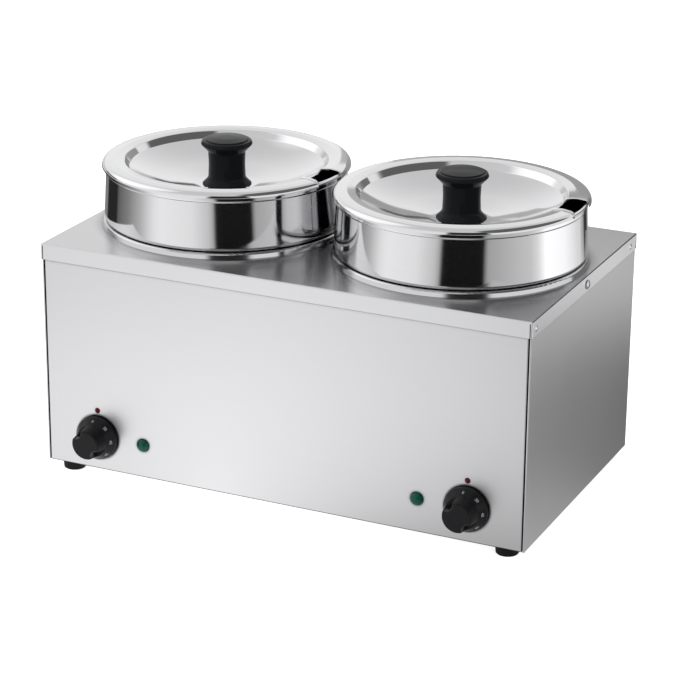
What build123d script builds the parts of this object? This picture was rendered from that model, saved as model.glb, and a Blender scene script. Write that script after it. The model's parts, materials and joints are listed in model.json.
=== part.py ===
from build123d import *
import math
import os

# Twin-pot countertop food warmer: two lidded round pots hang in two heated
# wells in a folded sheet-steel housing, with one control set for each well.
# Millimetres, +Z up, front towards -Y, origin on the floor at the middle of
# the whole object's length and depth.

os.makedirs("parts", exist_ok=True)

# Housing
side_margin = 5.8
end_margin = 21.8
housing_height = 240.0
sheet = 0.8
bend = 1.2
cover_flange = 17.0
cover_gap = 0.15
cover_corner_slot = 1.0
cover_corner_strip = 1.9
cover_slot_top = 2.2
mitre_cut = 4.5
mitre_gap = 0.4
hem_gap = 0.2
hem_depth = 12.0
seam_gap = 1.05
tray_return = 14.0
bottom_return = 34.0
side_return = 14.0
panel_gap = 0.5
base_sheet = 1.0
base_gap = 0.4
vent_length = 60.0
vent_width = 5.0
vent_pitch = 14.0
vent_rows = 7

# Wells
well_sheet = 1.0
well_radius = 122.6
well_depth = 165.0
well_corner = 12.0
collar_width = 8.6
collar_lean = 1.4
collar_height = 6.0
collar_foot = 0.8
collar_bend = 2.0
well_gap = 1.35

# Pots
pot_sheet = 0.8
pot_body_gap = 4.1
pot_shoulder_inset = 1.0
pot_shoulder_bend = 4.0
pot_ledge_bend = 2.0
pot_neck_taper = 2.6
pot_rim_flare = 0.7
pot_stand = 67.5
pot_depth = 138.0
pot_corner = 14.0
rim_bead = 2.0
rim_band = 5.6
rim_step = 1.4
pot_rest = 0.3

# Lids
lid_sheet = 0.8
lid_rest = 0.3
lid_side_gap = 0.9
lid_corner = 5.6
lid_skirt = 0.2
lid_spacing = 4.8
ring_slope = 0.09
ring_peak_inset = 14.0
ring_lip_inset = 23.5
ring_lip_drop = 1.3
dish_inset = 28.1
step_drop = 6.9
dish_depth = 20.8
dish_break_inset = 50.5
dish_break_rise = 9.3
seat_margin = 3.5
seat_bend = 25.0
dish_bend = 40.0
step_bend = 1.2
ring_bend = 20.0
notch_width = 36.0
notch_depth = 29.0
notch_corner = 2.0
notch_turn = {"left": 2.0, "right": 8.0}

# Lid knobs
lid_knob_radius = 27.5
lid_knob_foot = 0.9
lid_knob_flare = 7.5
lid_knob_neck = 20.0
lid_knob_waist = 19.2
lid_knob_height = 50.0
lid_knob_cap = 15.5
lid_knob_lip_inset = 1.5
lid_knob_lip_rise = 6.0
lid_knob_crown_inset = 4.1
lid_knob_crown_drop = 0.9
lid_knob_groove = 0.5
knob_screw_reach = 18.0
washer_radius = 8.0
washer_thickness = 1.0

# Controls
control_inset = 62.0
control_rise = 36.0
knob_reach = 28.0
skirt_radius = 23.5
skirt_gap = 1.2
skirt_edge = 4.0
skirt_wall = 2.6
skirt_plate = 1.4
cone_height = 8.0
grip_root = 17.5
grip_face = 15.5
grip_waist = 21.0
grip_turn = 45.0
scoop_radius = 9.0
scoop_floor = 0.6
knob_rounding = 2.0
hub_radius = 7.0
shaft_radius = 3.0
shaft_flat = 2.2
shaft_fit = 0.04
shaft_in_knob = 13.0
shaft_in_body = 10.0
bush_radius = 4.5
bush_reach = 2.6
bush_gap = 0.8

# Thermostats and sensors
thermostat_width = 40.0
thermostat_height = 34.0
thermostat_depth = 28.0
bracket_width = 46.0
bracket_height = 22.0
bracket_sheet = 1.2
thermostat_screw_pitch = 28.0
thermostat_screw_reach = 6.0
blade_width = 6.3
blade_sheet = 0.8
blade_length = 8.0
bulb_radius = 3.0
bulb_length = 70.0
bulb_offset = -14.0
bulb_fit = 0.1
capillary_radius = 0.8
clip_sheet = 0.8
clip_length = 12.0
clip_foot = 8.0
cutout_radius = 8.0
cutout_height = 8.0
cutout_offset = 26.0

# Pilot lamps and index dots
lamp_offset = 53.5
lens_radius = 7.0
lens_edge = 1.2
lens_dome = 4.5
lens_stem = 5.0
lens_stem_length = 6.0
lamp_body_radius = 6.4
lamp_body_length = 24.0
lamp_flange_radius = 8.0
lamp_flange = 1.5
dot_rise = 29.5
dot_radius = 3.0
dot_dome = 2.0
dot_stem = 1.5
dot_stem_length = 2.5

# Heating elements
element_radius = 4.0
element_ring = 88.0
element_gap_angle = 17.0
element_bend = 10.0
element_leg = 18.0
element_fit = 0.1
bead_radius = 5.0
bead_length = 6.0
pin_radius = 2.0
pin_length = 9.0
clamp_inner_reach = 18.0
clamp_outer_reach = 10.0
clamp_sheet = 1.5
clamp_mouth = 56.0
clamp_bolt_inset = 11.0
clamp_stud_tail = 2.0

# Feet
foot_height = 10.0
foot_radius = 12.5
foot_tip_radius = 11.2
foot_edge = 0.8
foot_inset_x = 23.0
foot_inset_y = 15.0
foot_recess = 4.5
foot_screw_reach = 6.0

# Fasteners: shank and head radii, head and nut heights, clearance of holes
m4 = 2.0
m5 = 2.5
hole_fit = 0.1
screw_head_m4 = 3.5
screw_head_m5 = 4.6
screw_head_height = 2.2
nut_flats_m4 = 7.0
nut_flats_m5 = 8.0
nut_height = 3.5
rivet = 1.6
rivet_head = 3.2
rivet_dome = 1.0
rivet_tail = 2.2
rivet_tail_height = 0.6
cover_screw_head = 4.8
cover_screw_dome = 2.4
cover_screw_reach = 7.0
cover_fixing_drop = 9.5
front_rivet_inset = 10.5
rear_rivet_inset = 20.0
base_screw_reach = 4.0

# Cable gland and terminals
gland_reach = 24.0
gland_inset = 90.0
gland_rise = 38.0
gland_bore = 5.0
gland_thread = 9.3
gland_thread_in = 9.0
gland_hex = 22.0
gland_hex_length = 5.0
gland_neck = 8.4
gland_neck_length = 9.0
gland_nut_wall = 2.2
gland_nose = 7.2
gland_lock = 4.0
gland_fit = 0.2
terminal_width = 34.0
terminal_depth = 20.0
terminal_height = 16.0
terminal_setback = 45.0
terminal_bore = 2.2
terminal_ways = 3
terminal_screw = 1.9
terminal_screw_depth = 3.0
earth_setback = 40.0
earth_stud_height = 14.0

# Radii, levels and planes that follow from the sizes above
collar_radius = well_radius + collar_width
collar_shoulder = collar_radius - collar_lean
pot_body_radius = well_radius - well_sheet / 2 - pot_body_gap + pot_sheet / 2
pot_shoulder_radius = collar_shoulder - pot_shoulder_inset
pot_neck_radius = pot_shoulder_radius - pot_neck_taper
pot_rim_radius = pot_neck_radius + pot_rim_flare
lid_line = pot_rim_radius + rim_bead + lid_side_gap + lid_sheet / 2
lid_radius = lid_line + lid_sheet / 2
pot_pitch = 2 * lid_radius + lid_spacing
width = pot_pitch + 2 * (collar_radius + side_margin)
depth = 2 * (collar_radius + end_margin)
panel_depth = depth - 2 * (sheet + cover_gap)
panel_half = width / 2 - sheet - cover_gap
total_depth = knob_reach + panel_depth + gland_reach
panel_front = knob_reach - total_depth / 2
panel_back = panel_front + panel_depth
deck_front = panel_front - sheet - cover_gap
deck_back = panel_back + sheet + cover_gap
y_mid = (panel_front + panel_back) / 2
hem_width = 2 * sheet + hem_gap
tray_half = panel_half - hem_width - seam_gap
z_base = foot_height
z_deck = z_base + housing_height
panel_top = z_deck - sheet
floor_top = z_base + sheet
base_top = floor_top + base_sheet
z_collar = z_deck + collar_height
z_well = z_deck - well_depth
z_under = z_well - well_sheet / 2
z_ledge = z_collar + well_sheet / 2 + pot_rest + pot_sheet / 2
z_pot = z_ledge - pot_depth
z_bead = z_deck + pot_stand - rim_bead
control_z = z_base + control_rise
bulb_z = z_under - bulb_fit - bulb_radius
element_z = z_under - element_fit - element_radius
clamp_top = element_z - element_radius - element_fit
clamp_under = clamp_top - clamp_sheet
thermostat_back = panel_front + sheet + bracket_sheet + thermostat_depth
gland_x = width / 2 - gland_inset
gland_z = z_base + gland_rise
hands = {"left": -1, "right": 1}


def keep(builder, name):
    """Label a finished piece and write it out under its own name."""
    builder.part.label = name
    export_step(builder.part, f"parts/{name}.step")


def pot_x(hand):
    """Middle of the pot on one hand, along the object."""
    return hands[hand] * pot_pitch / 2


def control_x(hand):
    """Middle of the control on one hand, along the object."""
    return hands[hand] * (width / 2 - control_inset)


def lamp_x(hand):
    """Middle of the pilot lamp on one hand, along the object."""
    return control_x(hand) - hands[hand] * lamp_offset


def upright_plane(x, y=y_mid):
    """Half-section plane of an upright turned piece: radius, height."""
    return Plane(origin=(x, y, 0), x_dir=(1, 0, 0), z_dir=(0, -1, 0))


def upright_axis(x, y=y_mid):
    """Upright turning axis."""
    return Axis((x, y, 0), (0, 0, 1))


def front_plane(x, z):
    """Half-section plane of a piece turned square to the front: radius, reach outwards."""
    return Plane(origin=(x, panel_front, z), x_dir=(1, 0, 0), z_dir=(0, 0, -1))


def front_axis(x, z):
    """Turning axis square to the front panel."""
    return Axis((x, panel_front, z), (0, -1, 0))


def rear_plane(x, z):
    """Half-section plane of a piece turned square to the back: radius, reach outwards."""
    return Plane(origin=(x, panel_back, z), x_dir=(1, 0, 0), z_dir=(0, 0, 1))


def rear_axis(x, z):
    """Turning axis square to the rear panel."""
    return Axis((x, panel_back, z), (0, 1, 0))


def side_plane(side, y, z):
    """Half-section plane of a piece turned square to a side: radius, distance from the middle."""
    return Plane(origin=(0, y, z), x_dir=(0, 0, 1), z_dir=(0, side, 0))


def side_axis(side, y, z):
    """Turning axis square to a side panel."""
    return Axis((0, y, z), (side, 0, 0))


def facing_front(x, z, out=0.0):
    """Plane parallel to the front panel, a distance out from its face."""
    return Plane(origin=(x, panel_front - out, z), x_dir=(1, 0, 0), z_dir=(0, -1, 0))


def facing_rear(x, z, out=0.0):
    """Plane parallel to the rear panel, a distance out from its face."""
    return Plane(origin=(x, panel_back + out, z), x_dir=(-1, 0, 0), z_dir=(0, 1, 0))


def domed_pin(plane, axis, tip, seat, shank, head, dome):
    """Round pin from tip to seat along the axis, with a domed head beyond the seat."""
    with BuildSketch(plane) as profile:
        with BuildLine():
            Polyline((0, seat + dome), (0, tip), (shank, tip), (shank, seat), (head, seat))
            TangentArc((0, seat + dome), (head, seat), tangent=(1, 0))
        make_face()
    revolve(profile.sketch, axis=axis)


def turned(plane, axis, points):
    """Turned piece whose half section is the closed outline through the points."""
    with BuildSketch(plane) as profile:
        with BuildLine():
            Polyline(*points, close=True)
        make_face()
    revolve(profile.sketch, axis=axis)


def nut(plane, flats, shank, height):
    """Hexagon nut standing on a plane."""
    with BuildSketch(plane) as profile:
        RegularPolygon(flats / 2, 6, major_radius=False)
        Circle(shank + hole_fit, mode=Mode.SUBTRACT)
    extrude(profile.sketch, amount=height)


# Places of the fasteners
feet_at = [
    (side * (panel_half - foot_inset_x), y)
    for side in (-1, 1)
    for y in (panel_front + foot_inset_y, panel_back - foot_inset_y)
]
base_screws_at = [
    (side * pot_pitch / 3, y)
    for side in (-1, 1)
    for y in (panel_front + foot_inset_y, panel_back - foot_inset_y)
] + [
    (side * (panel_half - side_return / 2), y_mid + end * depth / 5)
    for side in (-1, 1)
    for end in (-1, 1)
]
seam_rivet_heights = [z_base + housing_height * share for share in (0.15, 0.5, 0.85)]
seam_rivet_rows = [panel_front + hem_depth / 2, panel_back - hem_depth / 2]
cover_fixing_z = z_deck - cover_fixing_drop
cover_rivets_at = {
    deck_front + front_rivet_inset: hem_width,
    deck_back - rear_rivet_inset: sheet,
}
clamp_bolt_ring = element_ring - clamp_bolt_inset
clamp_bolts_at = [
    (clamp_bolt_ring * math.cos(math.radians(turn)), clamp_bolt_ring * math.sin(math.radians(turn)))
    for turn in (90, 210, 330)
]


def drill_floor():
    """Holes for the feet and the base screws through the bottom returns or the base plate."""
    with BuildSketch(Plane.XY.offset(z_base - sheet)) as holes:
        with Locations(*feet_at):
            Circle(m5 + hole_fit)
        with Locations(*base_screws_at):
            Circle(m4 + hole_fit)
    extrude(holes.sketch, amount=3 * sheet + base_sheet, mode=Mode.SUBTRACT)


def drill_seams():
    """Holes for the rivets that join the tray returns to the side hems."""
    inner_end = tray_half - 2 * sheet
    outer_end = tray_half + seam_gap + sheet + hem_gap / 2
    for side in (-1, 1):
        for y in seam_rivet_rows:
            for z in seam_rivet_heights:
                with BuildSketch(Plane(origin=(side * inner_end, y, z), z_dir=(side, 0, 0))) as hole:
                    Circle(rivet + hole_fit)
                extrude(hole.sketch, amount=outer_end - inner_end, mode=Mode.SUBTRACT)


def folded_tray(face_y, inward):
    """Panel folded on all four sides; inward is the way its returns point."""
    middle_y = face_y + inward * tray_return / 2
    floor_middle = face_y + inward * (tray_return + bottom_return) / 2
    with BuildSketch(Plane.XY.offset(z_base)) as block:
        with Locations((0, middle_y)):
            Rectangle(2 * tray_half, tray_return)
    extrude(block.sketch, amount=panel_top - z_base)
    by_depth = faces().sort_by(Axis((0, 0, 0), (0, inward, 0)))
    fillet(by_depth[0].edges(), radius=bend)
    by_depth = faces().sort_by(Axis((0, 0, 0), (0, inward, 0)))
    offset(amount=-sheet, openings=by_depth[-1])
    with BuildSketch(Plane.XY.offset(z_base)) as floor_return:
        with Locations((0, floor_middle)):
            Rectangle(2 * tray_half, bottom_return - tray_return)
    extrude(floor_return.sketch, amount=sheet)


# Front panel, with the holes of the controls, lamps and dots
with BuildPart() as front_panel:
    folded_tray(panel_front, 1)
    for hand in hands:
        with BuildSketch(facing_front(control_x(hand), control_z, out=sheet)):
            Circle(bush_radius + bush_gap)
            with GridLocations(thermostat_screw_pitch, 1, 2, 1):
                Circle(m4 + hole_fit)
            with Locations((0, dot_rise)):
                Circle(dot_stem + hole_fit)
            with Locations((lamp_x(hand) - control_x(hand), 0)):
                Circle(lens_stem + hole_fit)
        extrude(amount=-3 * sheet, mode=Mode.SUBTRACT)
    drill_floor()
    drill_seams()
keep(front_panel, "front_panel")

# Rear panel, with the hole of the cable gland
with BuildPart() as rear_panel:
    folded_tray(panel_back, -1)
    with BuildSketch(facing_rear(gland_x, gland_z, out=sheet)):
        Circle(gland_thread + gland_fit)
    extrude(amount=-3 * sheet, mode=Mode.SUBTRACT)
    drill_floor()
    drill_seams()
keep(rear_panel, "rear_panel")

# Side panels: flat faces whose front and rear edges are folded back into hems
hem_line = sheet + hem_gap
side_top = panel_top - (bend - sheet)
well_clear = pot_pitch / 2 + well_radius + well_sheet / 2 + well_gap
for hand, side in hands.items():
    face_line = side * (panel_half - sheet / 2)
    inner_line = side * (panel_half - sheet / 2 - hem_line)
    nose_front = panel_front + sheet / 2
    nose_back = panel_back - sheet / 2
    with BuildPart() as side_panel:
        with BuildSketch(Plane.XY.offset(z_base)):
            with BuildLine():
                FilletPolyline(
                    (inner_line, panel_front + hem_depth),
                    (inner_line, nose_front),
                    (face_line, nose_front),
                    (face_line, nose_back),
                    (inner_line, nose_back),
                    (inner_line, panel_back - hem_depth),
                    radius=0.45 * hem_line,
                )
            trace(line_width=sheet)
        extrude(amount=side_top - z_base)
        floor_return = (z_base, side_return, bottom_return)
        top_return = (side_top - sheet, panel_half - well_clear, tray_return)
        for level, fold, end_reach in (floor_return, top_return):
            with BuildSketch(Plane.XY.offset(level)):
                with Locations((side * (panel_half - (fold + sheet) / 2), y_mid)):
                    Rectangle(fold - sheet, panel_depth - 2 * (end_reach + panel_gap))
            extrude(amount=sheet)
        for y in (*cover_rivets_at, y_mid):
            shank = m4 if y == y_mid else rivet
            with BuildSketch(Plane(origin=(side * width / 2, y, cover_fixing_z), z_dir=(-side, 0, 0))):
                Circle(shank + hole_fit)
            extrude(amount=cover_screw_reach, mode=Mode.SUBTRACT)
        drill_floor()
        drill_seams()
    keep(side_panel, f"{hand}_side_panel")

# Base plate, lying on the bottom returns, with vent slots under the wells
with BuildPart() as base_plate:
    with BuildSketch(Plane.XY.offset(floor_top)):
        with Locations((0, y_mid)):
            Rectangle(2 * (tray_half - sheet - base_gap), panel_depth - 2 * (sheet + base_gap))
        with Locations((-pot_pitch / 2, y_mid), (pot_pitch / 2, y_mid)):
            with GridLocations(1, vent_pitch, 1, vent_rows):
                SlotOverall(vent_length, vent_width, mode=Mode.SUBTRACT)
        with Locations((gland_x - earth_setback, panel_back - terminal_setback)):
            Circle(m4 + hole_fit, mode=Mode.SUBTRACT)
    extrude(amount=base_sheet)
    drill_floor()
keep(base_plate, "base_plate")

# Top cover: a pan turned down all round, with open corners and two round holes
with BuildPart() as top_cover:
    with BuildSketch(Plane.XY.offset(z_deck - cover_flange)):
        with Locations((0, y_mid)):
            Rectangle(width, depth)
    extrude(amount=cover_flange)
    fillet(edges().filter_by(Axis.Z), radius=bend)
    fillet(faces().sort_by(Axis.Z)[-1].edges(), radius=bend)
    offset(amount=-sheet, openings=faces().sort_by(Axis.Z)[0])
    with BuildSketch(Plane.XY.offset(z_deck - cover_flange)):
        with Locations((-pot_pitch / 2, y_mid), (pot_pitch / 2, y_mid)):
            Circle(well_radius + well_sheet / 2 + well_gap)
    extrude(amount=cover_flange + sheet, mode=Mode.SUBTRACT)
    slot_middle = width / 2 - cover_corner_strip - cover_corner_slot / 2
    slot_height = cover_flange - cover_slot_top
    with BuildSketch(Plane.XY.offset(z_deck - cover_flange)):
        with Locations((-slot_middle, deck_front), (slot_middle, deck_front)):
            Rectangle(cover_corner_slot, 3 * sheet)
    extrude(amount=slot_height, mode=Mode.SUBTRACT)
    mitre_y = deck_back - sheet - mitre_gap
    with BuildSketch(Plane.YZ.offset(-width / 2 - sheet)):
        with BuildLine():
            Polyline(
                (mitre_y, z_deck - cover_slot_top),
                (deck_back - mitre_cut, z_deck - cover_flange - sheet),
                (mitre_y, z_deck - cover_flange - sheet),
                close=True,
            )
        make_face()
    extrude(amount=width + 2 * sheet, mode=Mode.SUBTRACT)
    for y in (*cover_rivets_at, y_mid):
        shank = m4 if y == y_mid else rivet
        with BuildSketch(Plane(origin=(-width / 2 - sheet, y, cover_fixing_z), z_dir=(1, 0, 0))):
            Circle(shank + hole_fit)
        extrude(amount=width + 2 * sheet, mode=Mode.SUBTRACT)
keep(top_cover, "top_cover")

# Rivets of the cover's front and rear ends, through the side panels
with BuildPart() as cover_rivets:
    for side in (-1, 1):
        for y, grip in cover_rivets_at.items():
            plane = side_plane(side, y, cover_fixing_z)
            axis = side_axis(side, y, cover_fixing_z)
            inner_face = panel_half - grip
            tail_end = inner_face - rivet_tail_height
            domed_pin(plane, axis, tail_end, width / 2, rivet, rivet_head, rivet_dome)
            tail = [(0, tail_end), (rivet_tail, tail_end), (rivet_tail, inner_face), (0, inner_face)]
            turned(plane, axis, tail)
keep(cover_rivets, "cover_rivets")

# Dome-head screws in the middle of the cover's ends, with their nuts
with BuildPart() as cover_screws:
    for side in (-1, 1):
        plane = side_plane(side, y_mid, cover_fixing_z)
        axis = side_axis(side, y_mid, cover_fixing_z)
        tip = width / 2 - cover_screw_reach
        domed_pin(plane, axis, tip, width / 2, m4, cover_screw_head, cover_screw_dome)
keep(cover_screws, "cover_screws")

with BuildPart() as cover_nuts:
    for side in (-1, 1):
        inner_face = side * (panel_half - sheet)
        seat = Plane(origin=(inner_face, y_mid, cover_fixing_z), z_dir=(-side, 0, 0))
        nut(seat, nut_flats_m4, m4, nut_height)
keep(cover_nuts, "cover_nuts")

# Shouldered rivets that hold the tray returns off the side hems
with BuildPart() as seam_rivets:
    head_end = tray_half - sheet - rivet_tail_height
    shank_end = tray_half + seam_gap + sheet
    for side in (-1, 1):
        for y in seam_rivet_rows:
            for z in seam_rivet_heights:
                outline = [
                    (0, head_end),
                    (rivet_tail, head_end),
                    (rivet_tail, tray_half - sheet),
                    (rivet, tray_half - sheet),
                    (rivet, tray_half),
                    (rivet_tail, tray_half),
                    (rivet_tail, tray_half + seam_gap),
                    (rivet, tray_half + seam_gap),
                    (rivet, shank_end),
                    (0, shank_end),
                ]
                turned(side_plane(side, y, z), side_axis(side, y, z), outline)
keep(seam_rivets, "seam_rivets")

# Screws that hold the base plate to the returns, heads below
with BuildPart() as base_screws:
    for x, y in base_screws_at:
        head = [
            (0, z_base - screw_head_height),
            (screw_head_m4, z_base - screw_head_height),
            (screw_head_m4, z_base),
            (m4, z_base),
            (m4, base_top + base_screw_reach),
            (0, base_top + base_screw_reach),
        ]
        turned(upright_plane(x, y), upright_axis(x, y), head)
keep(base_screws, "base_screws")

# Wells: deep drawn pans whose raised collars stand on the cover
for hand in hands:
    x = pot_x(hand)
    with BuildPart() as well:
        with BuildSketch(upright_plane(x)):
            with BuildLine():
                FilletPolyline(
                    (collar_radius, z_deck),
                    (collar_radius, z_deck + collar_foot),
                    (collar_shoulder, z_collar),
                    (well_radius, z_collar),
                    (well_radius, z_well),
                    (0, z_well),
                    radius=[well_sheet / 2, collar_bend, collar_bend, well_corner],
                )
            trace(line_width=well_sheet)
        revolve(axis=upright_axis(x))
    keep(well, f"well_{hand}")

# Pots: shoulder resting over the collar, straight neck, banded rim with a rolled bead
band_bottom = z_bead - rim_band
for hand in hands:
    x = pot_x(hand)
    with BuildPart() as pot:
        with BuildSketch(upright_plane(x)):
            with BuildLine():
                FilletPolyline(
                    (pot_rim_radius, z_bead),
                    (pot_rim_radius, band_bottom),
                    (pot_neck_radius, band_bottom - rim_step),
                    (pot_shoulder_radius, z_ledge),
                    (pot_body_radius, z_ledge),
                    (pot_body_radius, z_pot),
                    (0, z_pot),
                    radius=[rim_step / 2, rim_step / 2, pot_shoulder_bend, pot_ledge_bend, pot_corner],
                )
            trace(line_width=pot_sheet)
            with Locations((pot_rim_radius, z_bead)):
                Circle(rim_bead)
        revolve(axis=upright_axis(x))
    keep(pot, f"pot_{hand}")

# Lids: raised ring nesting over the bead, step down to a dish, ladle notch
nest_side = lid_corner - (lid_line - pot_rim_radius)
nest_reach = lid_corner - lid_sheet / 2 - rim_bead - lid_rest
z_round = z_bead - math.sqrt(nest_reach**2 - nest_side**2)
corner_turn = math.pi / 2 - math.atan(ring_slope)
z_corner = z_round + lid_corner * math.tan(corner_turn / 2)
z_peak = z_corner + ring_slope * (ring_peak_inset - lid_sheet / 2)
z_lip = z_peak - ring_lip_drop
z_dish_edge = z_lip - step_drop
z_seat = z_dish_edge - dish_depth
seat_top = z_seat + lid_sheet / 2
for hand in hands:
    x = pot_x(hand)
    with BuildPart() as lid:
        with BuildSketch(upright_plane(x)):
            with BuildLine():
                FilletPolyline(
                    (m5 + hole_fit, z_seat),
                    (lid_knob_radius + seat_margin, z_seat),
                    (lid_radius - dish_break_inset, z_seat + dish_break_rise),
                    (lid_radius - dish_inset, z_dish_edge),
                    (lid_radius - ring_lip_inset, z_lip),
                    (lid_radius - ring_peak_inset, z_peak),
                    (lid_line, z_corner),
                    (lid_line, z_round - lid_skirt),
                    radius=[seat_bend, dish_bend, step_bend, step_bend, ring_bend, lid_corner],
                )
            trace(line_width=lid_sheet)
        revolve(axis=upright_axis(x))
        turn = math.radians(notch_turn[hand])
        notch_plane = Plane(
            origin=(x, y_mid, z_seat),
            x_dir=(math.cos(turn), math.sin(turn), 0),
            z_dir=(0, 0, 1),
        )
        with BuildSketch(notch_plane):
            with Locations((lid_radius - notch_depth, 0)):
                Rectangle(
                    2 * notch_depth,
                    notch_width,
                    align=(Align.MIN, Align.CENTER),
                )
            fillet(vertices().group_by(Axis.X)[0], radius=notch_corner)
        extrude(amount=z_peak - z_seat + lid_sheet, mode=Mode.SUBTRACT)
    keep(lid, f"lid_{hand}")

# Lid knobs: flared foot, waisted stem, mushroom cap with a grooved crown
for hand in hands:
    x = pot_x(hand)
    knob_top = seat_top + lid_knob_height
    cap_root = knob_top - lid_knob_cap
    lip_z = cap_root + lid_knob_lip_rise
    lip_radius = lid_knob_radius - lid_knob_lip_inset
    crown_radius = lid_knob_radius - lid_knob_crown_inset
    crown_z = knob_top - lid_knob_crown_drop
    rim_z = (lip_z + crown_z) / 2
    flare_top = seat_top + lid_knob_flare
    with BuildPart() as lid_knob:
        with BuildSketch(upright_plane(x)):
            with BuildLine():
                Polyline(
                    (0, seat_top),
                    (lid_knob_radius, seat_top),
                    (lid_knob_radius, seat_top + lid_knob_foot),
                )
                TangentArc(
                    (lid_knob_neck, flare_top),
                    (lid_knob_radius, seat_top + lid_knob_foot),
                    tangent=(0, -1),
                )
                ThreePointArc(
                    (lid_knob_neck, flare_top),
                    (lid_knob_waist, (flare_top + cap_root) / 2),
                    (lid_knob_neck, cap_root),
                )
                TangentArc((lid_knob_neck, cap_root), (lip_radius, lip_z), tangent=(0, 1))
                ThreePointArc(
                    (lip_radius, lip_z),
                    (lid_knob_radius, rim_z),
                    (lip_radius, crown_z - lid_knob_groove),
                )
                Polyline(
                    (lip_radius, crown_z - lid_knob_groove),
                    (crown_radius + lid_knob_groove, crown_z),
                    (crown_radius + lid_knob_groove / 2, crown_z - lid_knob_groove),
                    (crown_radius, crown_z),
                )
                TangentArc((0, knob_top), (crown_radius, crown_z), tangent=(1, 0))
                Line((0, knob_top), (0, seat_top))
            make_face()
        revolve(axis=upright_axis(x))
        with BuildSketch(Plane(origin=(x, y_mid, seat_top))):
            Circle(m5 + hole_fit)
        extrude(amount=knob_screw_reach + hole_fit, mode=Mode.SUBTRACT)
    keep(lid_knob, f"lid_knob_{hand}")

    # Washer and screw that hold the knob from inside the lid
    seat_under = z_seat - lid_sheet / 2
    washer_under = seat_under - washer_thickness
    with BuildPart() as washer:
        with BuildSketch(Plane(origin=(x, y_mid, washer_under))):
            Circle(washer_radius)
            Circle(m5 + hole_fit, mode=Mode.SUBTRACT)
        extrude(amount=washer_thickness)
    keep(washer, f"lid_knob_washer_{hand}")

    with BuildPart() as knob_screw:
        outline = [
            (0, washer_under - screw_head_height),
            (screw_head_m5, washer_under - screw_head_height),
            (screw_head_m5, washer_under),
            (m5, washer_under),
            (m5, seat_top + knob_screw_reach),
            (0, seat_top + knob_screw_reach),
        ]
        turned(upright_plane(x), upright_axis(x), outline)
    keep(knob_screw, f"lid_knob_screw_{hand}")

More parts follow.
